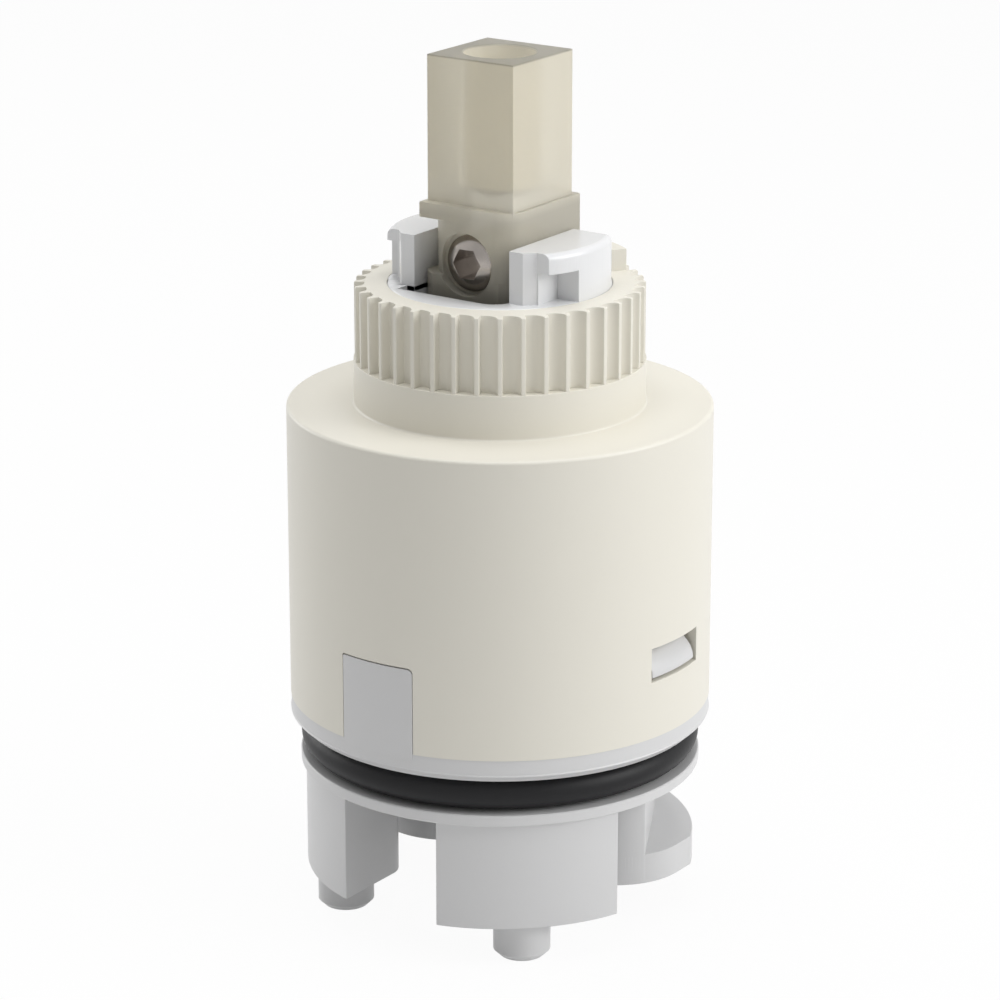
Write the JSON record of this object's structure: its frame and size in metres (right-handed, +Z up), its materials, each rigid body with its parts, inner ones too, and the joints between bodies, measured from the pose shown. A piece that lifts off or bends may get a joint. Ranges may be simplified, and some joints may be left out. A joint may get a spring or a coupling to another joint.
{
  "type": "faucet cartridge",
  "caption": "Single-lever ceramic disc mixer cartridge with a square lever stem, serrated temperature limit ring, splined neck, sealed round body, locating pins and raised inlet bosses.",
  "frame": {"origin": "on the cartridge axis, in the plane where the two legs and the inlet bosses end", "axes": "+Z up the cartridge axis towards the lever; -Y towards the key tab and the flow limit screw; X is the lever's pivot axis, +X the hot side"},
  "size_m": [0.035, 0.035, 0.0722],
  "materials": {
    "ivory_plastic": "matte, moulded",
    "white_plastic": "satin, moulded",
    "lever_plastic": "slightly translucent",
    "screw_steel": "polished stainless",
    "pin_steel": "ground stainless",
    "black_rubber": "smooth",
    "ceramic": "lapped ceramic",
    "slip_plastic": "low friction"
  },
  "bodies": {
    "root": {"housing": "ivory_plastic", "base": "white_plastic", "body_o_ring": "black_rubber", "inlet_seal_hot": "black_rubber", "inlet_seal_cold": "black_rubber", "disc_seal_hot": "black_rubber", "disc_seal_cold": "black_rubber", "disc_seal_outlet": "black_rubber", "fixed_ceramic_disc": "ceramic", "guide_slip_ring": "slip_plastic"},
    "limit_ring": {"temperature_limit_ring": "ivory_plastic"},
    "guide": {"lever_guide": "white_plastic", "pivot_pin": "pin_steel"},
    "stem": {"lever_stem": "lever_plastic"},
    "screw": {"flow_limit_screw": "screw_steel"},
    "slider": {"disc_carrier": "white_plastic", "carrier_seal": "black_rubber", "moving_ceramic_disc": "ceramic", "noise_damper": "slip_plastic"}
  },
  "joints": [
    {"name": "lever_rotation", "type": "hinge", "parent": "root", "child": "guide", "pos_m": [0, 0, 0.036], "axis": [0, 0, 1], "range_deg": [-50, 50]},
    {"name": "lever_tilt", "type": "hinge", "parent": "guide", "child": "stem", "pos_m": [0, 0, 0.048], "axis": [1, 0, 0], "range_deg": [0, 25]},
    {"name": "disc_slide", "type": "slide", "parent": "guide", "child": "slider", "axis": [0, 1, 0], "range_m": [0, 0.00549]},
    {"name": "flow_screw_turn", "type": "hinge", "parent": "stem", "child": "screw", "pos_m": [0, 0, 0.05235], "axis": [0, -1, 0], "range_deg": [0, 720]},
    {"name": "limit_ring_lift", "type": "slide", "parent": "root", "child": "limit_ring", "axis": [0, 0, 1], "range_m": [0, 0.0034]}
  ],
  "couplings": [
    {"joint": "lever_tilt", "follows": "disc_slide", "rad_per_m": 79.43}
  ]
}
